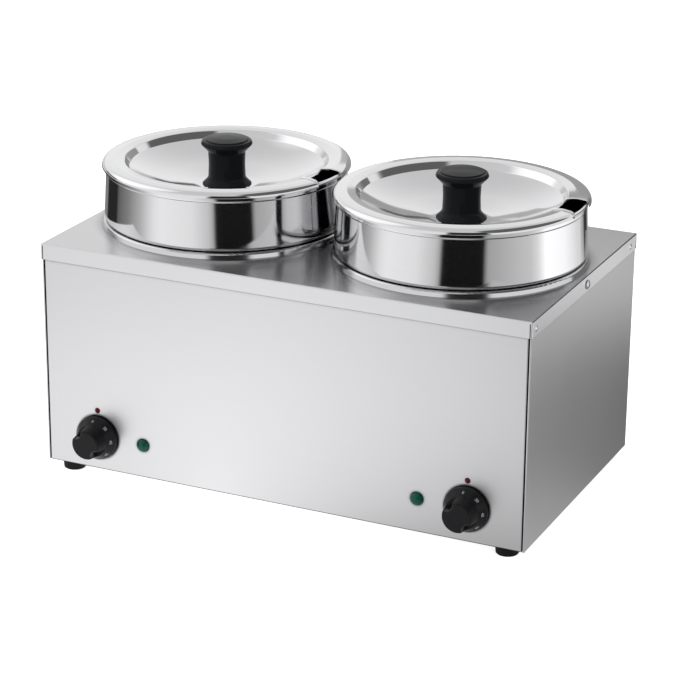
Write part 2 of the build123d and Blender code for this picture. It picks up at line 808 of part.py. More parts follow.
# Control knobs: hollow-backed skirt, cone and a scooped gripping bar
hub_face = bush_reach + bush_gap
cone_foot = skirt_gap + skirt_edge
cone_top = cone_foot + cone_height
recess_ceiling = cone_foot + skirt_plate - hub_face / 2
for hand in hands:
    x = control_x(hand)
    with BuildPart() as control_knob:
        outline = [
            (0, hub_face),
            (hub_radius, hub_face),
            (hub_radius, recess_ceiling),
            (skirt_radius - skirt_wall, recess_ceiling),
            (skirt_radius - skirt_wall, skirt_gap),
            (skirt_radius, skirt_gap),
            (skirt_radius, cone_foot),
            (grip_root, cone_top),
            (grip_face, knob_reach),
            (0, knob_reach),
        ]
        turned(front_plane(x, control_z), front_axis(x, control_z), outline)
        with BuildSketch(facing_front(x, control_z, out=cone_top + scoop_floor)):
            with PolarLocations(grip_waist / 2 + scoop_radius, 2, start_angle=90 + grip_turn):
                Circle(scoop_radius)
        extrude(amount=knob_reach, mode=Mode.SUBTRACT)
        grip_edges = faces().sort_by(Axis.Y)[0].edges()
        fillet(grip_edges, radius=knob_rounding)
        with BuildSketch(facing_front(x, control_z, out=hub_face)):
            Circle(shaft_radius + shaft_fit)
            with Locations((0, shaft_flat + shaft_fit)):
                Rectangle(
                    4 * shaft_radius,
                    2 * shaft_radius,
                    align=(Align.CENTER, Align.MIN),
                    mode=Mode.SUBTRACT,
                )
        extrude(amount=shaft_in_knob + shaft_fit, mode=Mode.SUBTRACT)
    keep(control_knob, f"control_knob_{hand}")

    # Flatted shaft from the thermostat into the knob
    with BuildPart() as shaft:
        shaft_tip = hub_face + shaft_in_knob
        shaft_root = -(sheet + bracket_sheet + shaft_in_body)
        with BuildSketch(facing_front(x, control_z, out=shaft_root)):
            Circle(shaft_radius)
        extrude(amount=shaft_tip - shaft_root)
        with BuildSketch(facing_front(x, control_z, out=hub_face)):
            with Locations((0, shaft_flat)):
                Rectangle(4 * shaft_radius, 2 * shaft_radius, align=(Align.CENTER, Align.MIN))
        extrude(amount=2 * shaft_in_knob, mode=Mode.SUBTRACT)
    keep(shaft, f"thermostat_shaft_{hand}")

    # Thermostat: bracket, case, threaded bush and terminal blades
    with BuildPart() as thermostat:
        with BuildSketch(facing_front(x, control_z, out=-sheet)):
            Rectangle(bracket_width, bracket_height)
        extrude(amount=-bracket_sheet)
        with BuildSketch(facing_front(x, control_z, out=-sheet - bracket_sheet)):
            Rectangle(thermostat_width, thermostat_height)
        extrude(amount=-thermostat_depth)
        with BuildSketch(facing_front(x, control_z, out=-sheet)):
            Circle(bush_radius)
        extrude(amount=sheet + bush_reach)
        with BuildSketch(facing_front(x, control_z, out=-sheet - bracket_sheet - thermostat_depth)):
            with GridLocations(thermostat_width / 2, thermostat_height / 2, 2, 2):
                Rectangle(blade_width, blade_sheet)
        extrude(amount=-blade_length)
        with BuildSketch(facing_front(x, control_z, out=bush_reach)):
            Circle(shaft_radius + shaft_fit)
        bore_depth = bush_reach + sheet + bracket_sheet + shaft_in_body + shaft_fit
        extrude(amount=-bore_depth, mode=Mode.SUBTRACT)
        with BuildSketch(facing_front(x, control_z, out=-sheet)):
            with GridLocations(thermostat_screw_pitch, 1, 2, 1):
                Circle(m4 + hole_fit)
        extrude(amount=-thermostat_screw_reach, mode=Mode.SUBTRACT)
    keep(thermostat, f"thermostat_{hand}")

    # Pilot lamp lens: green dome on a stem through the panel
    lamp_at = lamp_x(hand)
    with BuildPart() as lens:
        with BuildSketch(front_plane(lamp_at, control_z)):
            with BuildLine():
                Polyline(
                    (0, lens_edge + lens_dome),
                    (0, -sheet - lens_stem_length),
                    (lens_stem, -sheet - lens_stem_length),
                    (lens_stem, 0),
                    (lens_radius, 0),
                    (lens_radius, lens_edge),
                )
                TangentArc(
                    (0, lens_edge + lens_dome),
                    (lens_radius, lens_edge),
                    tangent=(1, 0),
                )
            make_face()
        revolve(axis=front_axis(lamp_at, control_z))
    keep(lens, f"pilot_lamp_lens_{hand}")

    # Pilot lamp body: flanged sleeve behind the panel with two blades
    with BuildPart() as lamp_body:
        with BuildSketch(facing_front(lamp_at, control_z, out=-sheet)):
            Circle(lamp_flange_radius)
        extrude(amount=-lamp_flange)
        with BuildSketch(facing_front(lamp_at, control_z, out=-sheet - lamp_flange)):
            Circle(lamp_body_radius)
        extrude(amount=lamp_flange - lamp_body_length)
        with BuildSketch(facing_front(lamp_at, control_z, out=-sheet)):
            Circle(lens_stem + hole_fit)
        extrude(amount=-lens_stem_length - hole_fit, mode=Mode.SUBTRACT)
        with BuildSketch(facing_front(lamp_at, control_z, out=-sheet - lamp_body_length)):
            with GridLocations(1, lamp_body_radius, 1, 2):
                Rectangle(blade_width, blade_sheet)
        extrude(amount=-blade_length)
    keep(lamp_body, f"pilot_lamp_body_{hand}")

# Screws that hold the thermostats, hidden under the knob skirts
with BuildPart() as thermostat_screws:
    for hand in hands:
        for side in (-1, 1):
            x = control_x(hand) + side * thermostat_screw_pitch / 2
            outline = [
                (0, screw_head_height),
                (0, -sheet - thermostat_screw_reach),
                (m4, -sheet - thermostat_screw_reach),
                (m4, 0),
                (screw_head_m4, 0),
                (screw_head_m4, screw_head_height),
            ]
            turned(front_plane(x, control_z), front_axis(x, control_z), outline)
keep(thermostat_screws, "thermostat_screws")

# Index dots above the knobs
with BuildPart() as index_dots:
    for hand in hands:
        x = control_x(hand)
        z = control_z + dot_rise
        domed_pin(front_plane(x, z), front_axis(x, z), -dot_stem_length, 0, dot_stem, dot_radius, dot_dome)
keep(index_dots, "index_dots")

# Heating elements: a tube bent into an open ring whose ends turn down at the front
half_gap = math.radians(element_gap_angle)
for hand in hands:
    x = pot_x(hand)
    ends = []
    for side in (-1, 1):
        reach_x = side * element_ring * math.sin(half_gap)
        reach_y = -element_ring * math.cos(half_gap)
        towards = Vector(-side * math.cos(half_gap), -math.sin(half_gap), 0)
        start = Vector(x + reach_x, y_mid + reach_y, element_z)
        slope = math.sqrt(0.5)
        middle = start + towards * (element_bend * slope) - Vector(0, 0, element_bend * (1 - slope))
        corner = start + towards * element_bend - Vector(0, 0, element_bend)
        ends.append((start, middle, corner, corner - Vector(0, 0, element_leg)))
    with BuildPart() as element:
        with BuildLine() as element_path:
            for start, middle, corner, leg_end in ends:
                ThreePointArc(start, middle, corner)
                Line(corner, leg_end)
            ThreePointArc(ends[0][0], Vector(x, y_mid + element_ring, element_z), ends[1][0])
        with BuildSketch(Plane(origin=ends[0][3], z_dir=(0, 0, -1))):
            Circle(element_radius)
        sweep(path=element_path.wires()[0])
        for start, middle, corner, leg_end in ends:
            with BuildSketch(Plane(origin=leg_end, z_dir=(0, 0, -1))):
                Circle(bead_radius)
            extrude(amount=bead_length)
            with BuildSketch(Plane(origin=leg_end, z_dir=(0, 0, -1))):
                Circle(pin_radius)
            extrude(amount=bead_length + pin_length)
    keep(element, f"heating_element_{hand}")

    # Clamp plate that presses the ring against the well, open at the front
    with BuildPart() as clamp:
        with BuildSketch(Plane(origin=(x, y_mid, clamp_under))):
            Circle(element_ring + clamp_outer_reach)
            Circle(element_ring - clamp_inner_reach, mode=Mode.SUBTRACT)
            with Locations((0, -element_ring)):
                Rectangle(clamp_mouth, element_ring, mode=Mode.SUBTRACT)
            with Locations(*clamp_bolts_at):
                Circle(m5 + hole_fit, mode=Mode.SUBTRACT)
        extrude(amount=clamp_sheet)
    keep(clamp, f"element_clamp_{hand}")

    # Thermal cut-out pressed against the well
    with BuildPart() as cutout:
        with BuildSketch(Plane(origin=(x, y_mid + cutout_offset, z_under), z_dir=(0, 0, -1))):
            Circle(cutout_radius)
        extrude(amount=cutout_height)
        fillet(edges().group_by(Axis.Z)[0], radius=cutout_height / 8)
        with BuildSketch(Plane(origin=(x, y_mid + cutout_offset, z_under - cutout_height), z_dir=(0, 0, -1))):
            with GridLocations(1, cutout_radius, 1, 2):
                Rectangle(blade_width, blade_sheet)
        extrude(amount=blade_length)
    keep(cutout, f"thermal_cutout_{hand}")

with BuildPart() as clamp_studs:
    for hand in hands:
        with BuildSketch(Plane(origin=(pot_x(hand), y_mid, clamp_under - nut_height - clamp_stud_tail))):
            with Locations(*clamp_bolts_at):
                Circle(m5)
        extrude(amount=z_under - clamp_under + nut_height + clamp_stud_tail)
keep(clamp_studs, "clamp_studs")

with BuildPart() as clamp_nuts:
    for hand in hands:
        for bolt_x, bolt_y in clamp_bolts_at:
            place = Plane(origin=(pot_x(hand) + bolt_x, y_mid + bolt_y, clamp_under), z_dir=(0, 0, -1))
            nut(place, nut_flats_m5, m5, nut_height)
keep(clamp_nuts, "clamp_nuts")

# Temperature sensors: a bulb under the well and its capillary to the thermostat
bulb_y = y_mid + bulb_offset
for hand, side in hands.items():
    bulb_end = pot_x(hand) + side * bulb_length / 2
    x = control_x(hand)
    route = [
        Vector(bulb_end, bulb_y, bulb_z),
        Vector(bulb_end + side * 14, bulb_y, bulb_z),
        Vector(x - side * 13, bulb_y - 9, (bulb_z + control_z) / 2),
        Vector(x, bulb_y - 38, control_z + 4),
        Vector(x, thermostat_back + 28, control_z),
        Vector(x, thermostat_back, control_z),
    ]
    radii = []
    for before, here, after in zip(route, route[1:], route[2:]):
        turn = math.radians((here - before).get_angle(after - here))
        shorter = min((here - before).length, (after - here).length)
        radii.append(0.45 * shorter / math.tan(turn / 2))
    with BuildPart() as sensor:
        with BuildLine() as capillary:
            FilletPolyline(*route, radius=radii)
        with BuildSketch(Plane(origin=route[0], z_dir=(side, 0, 0))):
            Circle(capillary_radius)
        sweep(path=capillary.wires()[0])
        path_length = capillary.wires()[0].length
        expected = math.pi * capillary_radius**2 * path_length
        print(f"capillary {hand}: radii", [round(r, 1) for r in radii])
        print(f"capillary {hand}: volume {sensor.part.volume:.2f}, section x length {expected:.2f}")
        with BuildSketch(Plane(origin=(bulb_end, bulb_y, bulb_z), z_dir=(-side, 0, 0))):
            Circle(bulb_radius)
        extrude(amount=bulb_length)
    keep(sensor, f"sensor_bulb_{hand}")

# Clips that hold the bulbs up against the wells
clip_line = bulb_radius + bulb_fit + clip_sheet / 2
with BuildPart() as bulb_clips:
    for hand in hands:
        clip_x = pot_x(hand) - clip_length / 2
        with BuildSketch(Plane(origin=(clip_x, bulb_y, bulb_z), x_dir=(0, 1, 0), z_dir=(1, 0, 0))):
            with BuildLine():
                foot_line = z_under - clip_sheet / 2 - bulb_z
                FilletPolyline(
                    (-clip_line - clip_foot, foot_line),
                    (-clip_line, foot_line),
                    (-clip_line, -clip_line),
                    (clip_line, -clip_line),
                    (clip_line, foot_line),
                    (clip_line + clip_foot, foot_line),
                    radius=[clip_sheet, 0.9 * clip_line, 0.9 * clip_line, clip_sheet],
                )
            trace(line_width=clip_sheet)
        extrude(amount=clip_length)
keep(bulb_clips, "bulb_clips")

# Terminal block on the base plate, with clamping screws
terminal_y = panel_back - terminal_setback
terminal_top = base_top + terminal_height
way_pitch = terminal_width / terminal_ways
with BuildPart() as terminal_block:
    with BuildSketch(Plane(origin=(gland_x, terminal_y, base_top))):
        Rectangle(terminal_width, terminal_depth)
    extrude(amount=terminal_height)
    with BuildSketch(Plane(origin=(gland_x, terminal_y, base_top + terminal_height / 2))):
        Rectangle(terminal_width, terminal_depth)
        Rectangle(terminal_width, terminal_depth / 2, mode=Mode.SUBTRACT)
    extrude(amount=terminal_height / 2, mode=Mode.SUBTRACT)
    bore_z = base_top + terminal_height * 0.7
    with BuildSketch(Plane(origin=(gland_x, terminal_y + terminal_depth, bore_z), z_dir=(0, -1, 0))):
        with GridLocations(way_pitch, 1, terminal_ways, 1):
            Circle(terminal_bore)
    extrude(amount=2 * terminal_depth, mode=Mode.SUBTRACT)
    with BuildSketch(Plane(origin=(gland_x, terminal_y, terminal_top))):
        with GridLocations(way_pitch, 1, terminal_ways, 1):
            Circle(terminal_screw + hole_fit)
    extrude(amount=-terminal_screw_depth, mode=Mode.SUBTRACT)
keep(terminal_block, "terminal_block")

with BuildPart() as terminal_screws:
    with BuildSketch(Plane(origin=(gland_x, terminal_y, terminal_top - terminal_screw_depth))):
        with GridLocations(way_pitch, 1, terminal_ways, 1):
            Circle(terminal_screw)
    extrude(amount=terminal_screw_depth)
keep(terminal_screws, "terminal_screws")

# Earth stud through the base plate and its nut
earth_x = gland_x - earth_setback
with BuildPart() as earth_stud:
    outline = [
        (0, base_top + earth_stud_height),
        (0, floor_top - screw_head_height),
        (screw_head_m4, floor_top - screw_head_height),
        (screw_head_m4, floor_top),
        (m4, floor_top),
        (m4, base_top + earth_stud_height),
    ]
    turned(upright_plane(earth_x, terminal_y), upright_axis(earth_x, terminal_y), outline)
keep(earth_stud, "earth_stud")

with BuildPart() as earth_nut:
    nut(Plane(origin=(earth_x, terminal_y, base_top)), nut_flats_m4, m4, nut_height)
keep(earth_nut, "earth_nut")

# Cable gland: threaded body with a hexagon, dome nut outside and lock nut inside
neck_end = gland_hex_length + gland_neck_length
with BuildPart() as gland_body:
    with BuildSketch(facing_rear(gland_x, gland_z)):
        RegularPolygon(gland_hex / 2, 6, major_radius=False)
    extrude(amount=gland_hex_length)
    with BuildSketch(facing_rear(gland_x, gland_z, out=-sheet - gland_thread_in)):
        Circle(gland_thread)
    extrude(amount=sheet + gland_thread_in)
    with BuildSketch(facing_rear(gland_x, gland_z, out=gland_hex_length)):
        Circle(gland_neck)
    extrude(amount=gland_neck_length)
    with BuildSketch(facing_rear(gland_x, gland_z, out=neck_end)):
        Circle(gland_bore)
    extrude(amount=-neck_end - sheet - gland_thread_in, mode=Mode.SUBTRACT)
keep(gland_body, "gland_body")

with BuildPart() as gland_dome_nut:
    nut_start = gland_hex_length + gland_fit
    outer = gland_neck + gland_fit + gland_nut_wall
    with BuildSketch(rear_plane(gland_x, gland_z)):
        with BuildLine():
            Polyline(
                (gland_neck + gland_fit, nut_start),
                (outer, nut_start),
                (outer, neck_end + gland_fit),
            )
            TangentArc(
                (outer, neck_end + gland_fit),
                (gland_nose, gland_reach),
                tangent=(0, 1),
            )
            Polyline(
                (gland_nose, gland_reach),
                (gland_bore, gland_reach),
                (gland_bore, neck_end + gland_fit),
                (gland_neck + gland_fit, neck_end + gland_fit),
                (gland_neck + gland_fit, nut_start),
            )
        make_face()
    revolve(axis=rear_axis(gland_x, gland_z))
    with BuildSketch(facing_rear(gland_x, gland_z, out=nut_start)):
        RegularPolygon(gland_hex / 2, 6, major_radius=False)
        Circle(gland_neck + gland_fit, mode=Mode.SUBTRACT)
    extrude(amount=gland_neck_length * 0.6)
keep(gland_dome_nut, "gland_dome_nut")

with BuildPart() as gland_lock_nut:
    with BuildSketch(facing_rear(gland_x, gland_z, out=-sheet)):
        RegularPolygon(gland_hex / 2 + 1, 6, major_radius=False)
        Circle(gland_thread + hole_fit, mode=Mode.SUBTRACT)
    extrude(amount=-gland_lock)
keep(gland_lock_nut, "gland_lock_nut")

# Rubber feet, each held by a screw up through the return and the base plate
foot_names = ["foot_front_left", "foot_rear_left", "foot_front_right", "foot_rear_right"]
for name, (x, y) in zip(foot_names, feet_at):
    with BuildPart() as foot:
        outline = [
            (m5 + hole_fit, foot_recess),
            (m5 + hole_fit, foot_height),
            (foot_radius, foot_height),
            (foot_tip_radius + foot_edge / 2, foot_edge),
            (foot_tip_radius - foot_edge / 2, 0),
            (screw_head_m5 + 4 * hole_fit, 0),
            (screw_head_m5 + 4 * hole_fit, foot_recess),
        ]
        turned(upright_plane(x, y), upright_axis(x, y), outline)
    keep(foot, name)

with BuildPart() as foot_screws:
    for x, y in feet_at:
        outline = [
            (0, foot_recess - screw_head_height),
            (screw_head_m5, foot_recess - screw_head_height),
            (screw_head_m5, foot_recess),
            (m5, foot_recess),
            (m5, base_top + foot_screw_reach),
            (0, base_top + foot_screw_reach),
        ]
        turned(upright_plane(x, y), upright_axis(x, y), outline)
keep(foot_screws, "foot_screws")
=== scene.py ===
import json
import math

import bmesh
import bpy
from mathutils import Matrix, Vector


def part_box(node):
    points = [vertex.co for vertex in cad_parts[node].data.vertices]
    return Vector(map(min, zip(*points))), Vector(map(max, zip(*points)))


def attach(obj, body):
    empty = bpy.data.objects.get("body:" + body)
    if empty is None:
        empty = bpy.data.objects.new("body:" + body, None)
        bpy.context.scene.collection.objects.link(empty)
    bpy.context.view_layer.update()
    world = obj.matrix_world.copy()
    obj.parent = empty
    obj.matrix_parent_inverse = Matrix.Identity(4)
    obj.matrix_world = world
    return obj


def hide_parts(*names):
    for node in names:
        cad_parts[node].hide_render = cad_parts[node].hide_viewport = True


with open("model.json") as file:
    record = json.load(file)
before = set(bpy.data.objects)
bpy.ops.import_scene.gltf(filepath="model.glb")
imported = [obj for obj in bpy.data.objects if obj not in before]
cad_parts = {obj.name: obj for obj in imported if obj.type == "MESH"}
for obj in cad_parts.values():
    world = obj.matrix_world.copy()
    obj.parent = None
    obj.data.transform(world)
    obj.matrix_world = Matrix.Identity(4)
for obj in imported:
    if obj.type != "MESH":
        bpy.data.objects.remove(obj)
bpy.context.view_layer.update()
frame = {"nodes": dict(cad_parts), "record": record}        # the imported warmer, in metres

mm = 0.001
hands = ("left", "right")
nodes = frame["nodes"]
print("warmer loaded:", len(nodes), "nodes")


# Camera at the photo's viewing angle

cameraView = {
    "location": (1.0398, -2.2507, 1.0590),
    "yaw": 24.793,       # degrees, turned left of straight ahead
    "pitch": 20.381,     # degrees, looking down
    "roll": 0.478,
    "lens": 133.22,      # for a square picture
    "sensor": 36,
    "clipStart": 0.05,
}


def placeCamera(view):
    data = bpy.data.cameras.new("photoCamera")
    data.lens = view["lens"]
    data.sensor_width = view["sensor"]
    data.clip_start = view["clipStart"]
    camera = bpy.data.objects.new("photoCamera", data)
    bpy.context.scene.collection.objects.link(camera)
    yaw = Matrix.Rotation(math.radians(view["yaw"]), 4, "Z")
    pitch = Matrix.Rotation(math.radians(90 - view["pitch"]), 4, "X")
    roll = Matrix.Rotation(math.radians(view["roll"]), 4, "Z")
    camera.matrix_world = Matrix.Translation(view["location"]) @ yaw @ pitch @ roll
    bpy.context.scene.camera = camera


placeCamera(cameraView)
print("camera placed")


# Helpers that add and join shader nodes

def addNode(tree, kind, inputs=None, **settings):
    node = tree.nodes.new(kind)
    for name, value in settings.items():
        setattr(node, name, value)
    for name, value in (inputs or {}).items():
        node.inputs[name].default_value = value
    return node


def newMaterial(name, look):
    material = bpy.data.materials.new(name)
    material.use_nodes = True
    tree = material.node_tree
    shader = tree.nodes["Principled BSDF"]
    shader.inputs["Base Color"].default_value = (*look["colour"], 1)
    shader.inputs["Metallic"].default_value = look.get("metallic", 0)
    shader.inputs["Roughness"].default_value = look["roughness"]
    shader.inputs["Specular IOR Level"].default_value = look.get("specular", 0.5)
    return material, tree, shader


def feed(tree, value, socket):
    # an output is linked to the socket, anything else is set on it
    if isinstance(value, bpy.types.NodeSocket):
        tree.links.new(value, socket)
    else:
        socket.default_value = value


def mathNode(tree, operation, first, second=None):
    node = addNode(tree, "ShaderNodeMath", operation=operation)
    feed(tree, first, node.inputs[0])
    if second is not None:
        feed(tree, second, node.inputs[1])
    return node.outputs[0]


def weighted(tree, first, second, share):
    # this share of the first signal and the rest of the second
    one = mathNode(tree, "MULTIPLY", first, share)
    other = mathNode(tree, "MULTIPLY", second, 1 - share)
    return mathNode(tree, "ADD", one, other)


def blend(tree, factor, first, second):
    # first where factor is 0, second where it is 1
    rest = mathNode(tree, "SUBTRACT", 1.0, factor)
    one = mathNode(tree, "MULTIPLY", rest, first)
    other = mathNode(tree, "MULTIPLY", factor, second)
    return mathNode(tree, "ADD", one, other)


def pickVector(tree, factor, first, second):
    # first where factor is 0, second where it is 1
    node = addNode(tree, "ShaderNodeMix", data_type="VECTOR")
    tree.links.new(factor, node.inputs["Factor"])
    for number, value in ((4, first), (5, second)):     # the node's sockets for vectors
        feed(tree, value, node.inputs[number])
    return node.outputs[1]


def spread(tree, signal, low, high, start=0, end=1):
    # a signal from start to end, spread between low and high
    limits = {"From Min": start, "From Max": end, "To Min": low, "To Max": high}
    node = addNode(tree, "ShaderNodeMapRange", limits)
    tree.links.new(signal, node.inputs["Value"])
    return node.outputs["Result"]


def noise(tree, coordinates, scale, detail=3, roughness=0.5):
    settings = {"Scale": scale, "Detail": detail, "Roughness": roughness}
    node = addNode(tree, "ShaderNodeTexNoise", settings)
    tree.links.new(coordinates, node.inputs["Vector"])
    return node.outputs["Fac"]


def eased(tree, signal, edge):
    # 0 below the first edge, 1 above the second, smooth between
    node = addNode(tree, "ShaderNodeMapRange", {"From Min": edge[0], "From Max": edge[1]},
                   interpolation_type="SMOOTHSTEP")
    tree.links.new(signal, node.inputs["Value"])
    return node.outputs["Result"]


def stretched(tree, coordinates, factors):
    node = addNode(tree, "ShaderNodeVectorMath", operation="MULTIPLY")
    tree.links.new(coordinates, node.inputs[0])
    node.inputs[1].default_value = factors
    return node.outputs["Vector"]


def tint(tree, shader, colour, signal, change):
    # the colour gets darker and lighter by the share that change gives
    ramp = addNode(tree, "ShaderNodeMix", data_type="RGBA")
    ramp.inputs["A"].default_value = (*(c * (1 - change) for c in colour), 1)
    ramp.inputs["B"].default_value = (*(min(1, c * (1 + change)) for c in colour), 1)
    tree.links.new(signal, ramp.inputs["Factor"])
    tree.links.new(ramp.outputs["Result"], shader.inputs["Base Color"])


def paintSeamShade(tree, shader, look):
    # painted shade: darkens the colour in seams, creases and under edges, where shade falls
    near = addNode(tree, "ShaderNodeAmbientOcclusion", {"Distance": look["reach"]}, samples=8)
    openness = eased(tree, near.outputs["AO"], look["edge"])
    kept = addNode(tree, "ShaderNodeMix", data_type="RGBA")
    kept.inputs["A"].default_value = (*look["colour"], 1)
    tree.links.new(shader.inputs["Base Color"].links[0].from_socket, kept.inputs["B"])
    tree.links.new(openness, kept.inputs["Factor"])
    tree.links.new(kept.outputs["Result"], shader.inputs["Base Color"])


def bump(tree, shader, signal, strength, distance):
    node = addNode(tree, "ShaderNodeBump", {"Strength": strength, "Distance": distance})
    tree.links.new(signal, node.inputs["Height"])
    tree.links.new(node.outputs["Normal"], shader.inputs["Normal"])


# Brushed sheet steel: fine lines along the sheet, turned on the end faces

sheetSteel = {
    "colour": (0.58, 0.58, 0.59),
    "metallic": 1,
    "roughness": 0.36,
    "roughnessChange": 0.05,
    "lineLength": 9,            # noise cells per metre along the lines
    "linePitch": 1500,          # and across them
    "lineShare": 0.7,           # the rest of the tone is smudges
    "tone": 0.06,
    "smudge": 9,
    "bumpStrength": 0.4,
    "bumpHeight": 0.00002,
    "endFacing": 0.7,           # faces turned sideways by more than this are end faces
    # painted shade on the downward-facing bends at the bottom edges
    "hemShadeStart": (0.01, 0.13),   # how far down the bend faces where its painted shade line starts
    "hemShadeEnd": (0.98, 0.9),      # and where it ends
    "hemShadeTone": 0.05,
    # painted shade: dark lines in the seams and under the flanges' edges
    "paintedSeamShade": {"reach": 0.004, "edge": (0.6, 0.97), "colour": (0.03,) * 3},
}

# the top cover is smoother, with painted light on its turned-down ends and painted shade along
# their bends
coverSteel = dict(
    sheetSteel,
    roughness=0.24,
    bumpHeight=0.000006,
    tone=0.04,
    stretch=0.8,                # of reflections, across the brushed lines
    # painted shade reaching further, darkening the deck near the pots and along the seams
    paintedSeamShade={"reach": 0.02, "edge": (0.3, 0.9), "colour": (0.14,) * 3},
    # painted light on the end faces, and painted shade on their bends
    paintedEndLight=1.38,
    bendEdge=(0.25, 0.7),
    paintedBendShade=0.15,
)


def scaled(tree, shader, factor):
    # the colour times a factor
    product = addNode(tree, "ShaderNodeVectorMath", operation="SCALE")
    tree.links.new(shader.inputs["Base Color"].links[0].from_socket, product.inputs[0])
    tree.links.new(factor, product.inputs["Scale"])
    tree.links.new(product.outputs["Vector"], shader.inputs["Base Color"])


def paintEndLightAndBendShade(tree, shader, facing, endFace, look):
    # painted light on the turned-down ends, with a painted shade line along the bend above them
    scaled(tree, shader, spread(tree, endFace, 1, look["paintedEndLight"]))
    sideways = mathNode(tree, "ABSOLUTE", facing.outputs["X"])
    upwards = mathNode(tree, "ABSOLUTE", facing.outputs["Z"])
    product = mathNode(tree, "MULTIPLY", sideways, upwards)
    bend = mathNode(tree, "MULTIPLY", product, 2.0)     # 1 in the middle of the bend
    scaled(tree, shader, spread(tree, eased(tree, bend, look["bendEdge"]), 1, look["paintedBendShade"]))


def paintHemShade(tree, shader, facing, look):
    # painted shade: dark line along the downward-facing bend at the bottom edge, where shade falls
    down = mathNode(tree, "MULTIPLY", facing.outputs["Z"], -1.0)
    started = eased(tree, down, look["hemShadeStart"])
    unfinished = eased(tree, down, look["hemShadeEnd"])
    hemShade = mathNode(tree, "MULTIPLY", started, unfinished)
    scaled(tree, shader, spread(tree, hemShade, 1, look["hemShadeTone"]))


def acrossLines(tree, shader, normal, endFace, amount):
    # reflections drawn out across the brushed lines
    across = addNode(tree, "ShaderNodeVectorMath", operation="CROSS_PRODUCT")
    tree.links.new(normal, across.inputs[0])
    tree.links.new(pickVector(tree, endFace, (1, 0, 0), (0, 1, 0)), across.inputs[1])
    tree.links.new(across.outputs["Vector"], shader.inputs["Tangent"])
    shader.inputs["Anisotropic"].default_value = amount


def brushedSteel(name, look):
    material, tree, shader = newMaterial(name, look)
    place = addNode(tree, "ShaderNodeTexCoord")
    along, across = look["lineLength"], look["linePitch"]
    lengthwise = stretched(tree, place.outputs["Object"], (along, across, across))
    depthwise = stretched(tree, place.outputs["Object"], (across, along, across))
    facing = addNode(tree, "ShaderNodeSeparateXYZ")
    tree.links.new(place.outputs["Normal"], facing.inputs[0])
    sideways = mathNode(tree, "ABSOLUTE", facing.outputs["X"])
    endFace = mathNode(tree, "GREATER_THAN", sideways, look["endFacing"])
    picked = pickVector(tree, endFace, lengthwise, depthwise)
    lines = noise(tree, picked, scale=1, detail=4, roughness=0.65)
    smudges = noise(tree, place.outputs["Object"], look["smudge"], detail=2)
    mixed = weighted(tree, lines, smudges, look["lineShare"])
    low = look["roughness"] - look["roughnessChange"]
    high = look["roughness"] + look["roughnessChange"]
    tree.links.new(spread(tree, mixed, low, high), shader.inputs["Roughness"])
    tint(tree, shader, look["colour"], mixed, look["tone"])
    # painted shade on downward-facing bends
    paintHemShade(tree, shader, facing, look)
    # painted light on the turned-down ends and painted shade along their bends
    if "paintedEndLight" in look:
        paintEndLightAndBendShade(tree, shader, facing, endFace, look)
        acrossLines(tree, shader, place.outputs["Normal"], endFace, look["stretch"])
    # painted shade in the seams and under the edges of the sheets
    paintSeamShade(tree, shader, look["paintedSeamShade"])
    bump(tree, shader, lines, look["bumpStrength"], look["bumpHeight"])
    return material


# Polished steel: spun, with faint rings round each pot's own axis

polishedSteel = {
    "colour": (0.66, 0.66, 0.67),
    "metallic": 1,
    "roughness": 0.075,
    "roughnessChange": 0.02,
    "ringPitch": 900,     # noise cells per metre outwards
    "smudge": 11,
    "tone": 0.02,
    "bumpStrength": 0.3,
    "bumpHeight": 0.000004,
}

wellSteel = dict(polishedSteel, roughness=0.13, colour=(0.56, 0.56, 0.57))


def spunSteel(name, look, axisAt):
    material, tree, shader = newMaterial(name, look)
    place = addNode(tree, "ShaderNodeTexCoord")
    moved = addNode(tree, "ShaderNodeVectorMath", operation="SUBTRACT")
    tree.links.new(place.outputs["Object"], moved.inputs[0])
    moved.inputs[1].default_value = (axisAt[0], axisAt[1], 0)
    parts = addNode(tree, "ShaderNodeSeparateXYZ")
    tree.links.new(moved.outputs["Vector"], parts.inputs[0])
    squareX = mathNode(tree, "MULTIPLY", parts.outputs["X"], parts.outputs["X"])
    squareY = mathNode(tree, "MULTIPLY", parts.outputs["Y"], parts.outputs["Y"])
    radius = mathNode(tree, "SQRT", mathNode(tree, "ADD", squareX, squareY))
    ring = addNode(tree, "ShaderNodeCombineXYZ")
    tree.links.new(radius, ring.inputs["X"])
    tree.links.new(parts.outputs["Z"], ring.inputs["Y"])
    lines = noise(tree, ring.outputs["Vector"], look["ringPitch"], detail=3)
    smudges = noise(tree, moved.outputs["Vector"], look["smudge"], detail=2)
    low = look["roughness"] - look["roughnessChange"]
    high = look["roughness"] + look["roughnessChange"]
    tree.links.new(spread(tree, smudges, low, high), shader.inputs["Roughness"])
    tint(tree, shader, look["colour"], lines, look["tone"])
    bump(tree, shader, lines, look["bumpStrength"], look["bumpHeight"])
    return material


# Plain finishes: moulded, plated, drawn or painted, each with its own fine surface

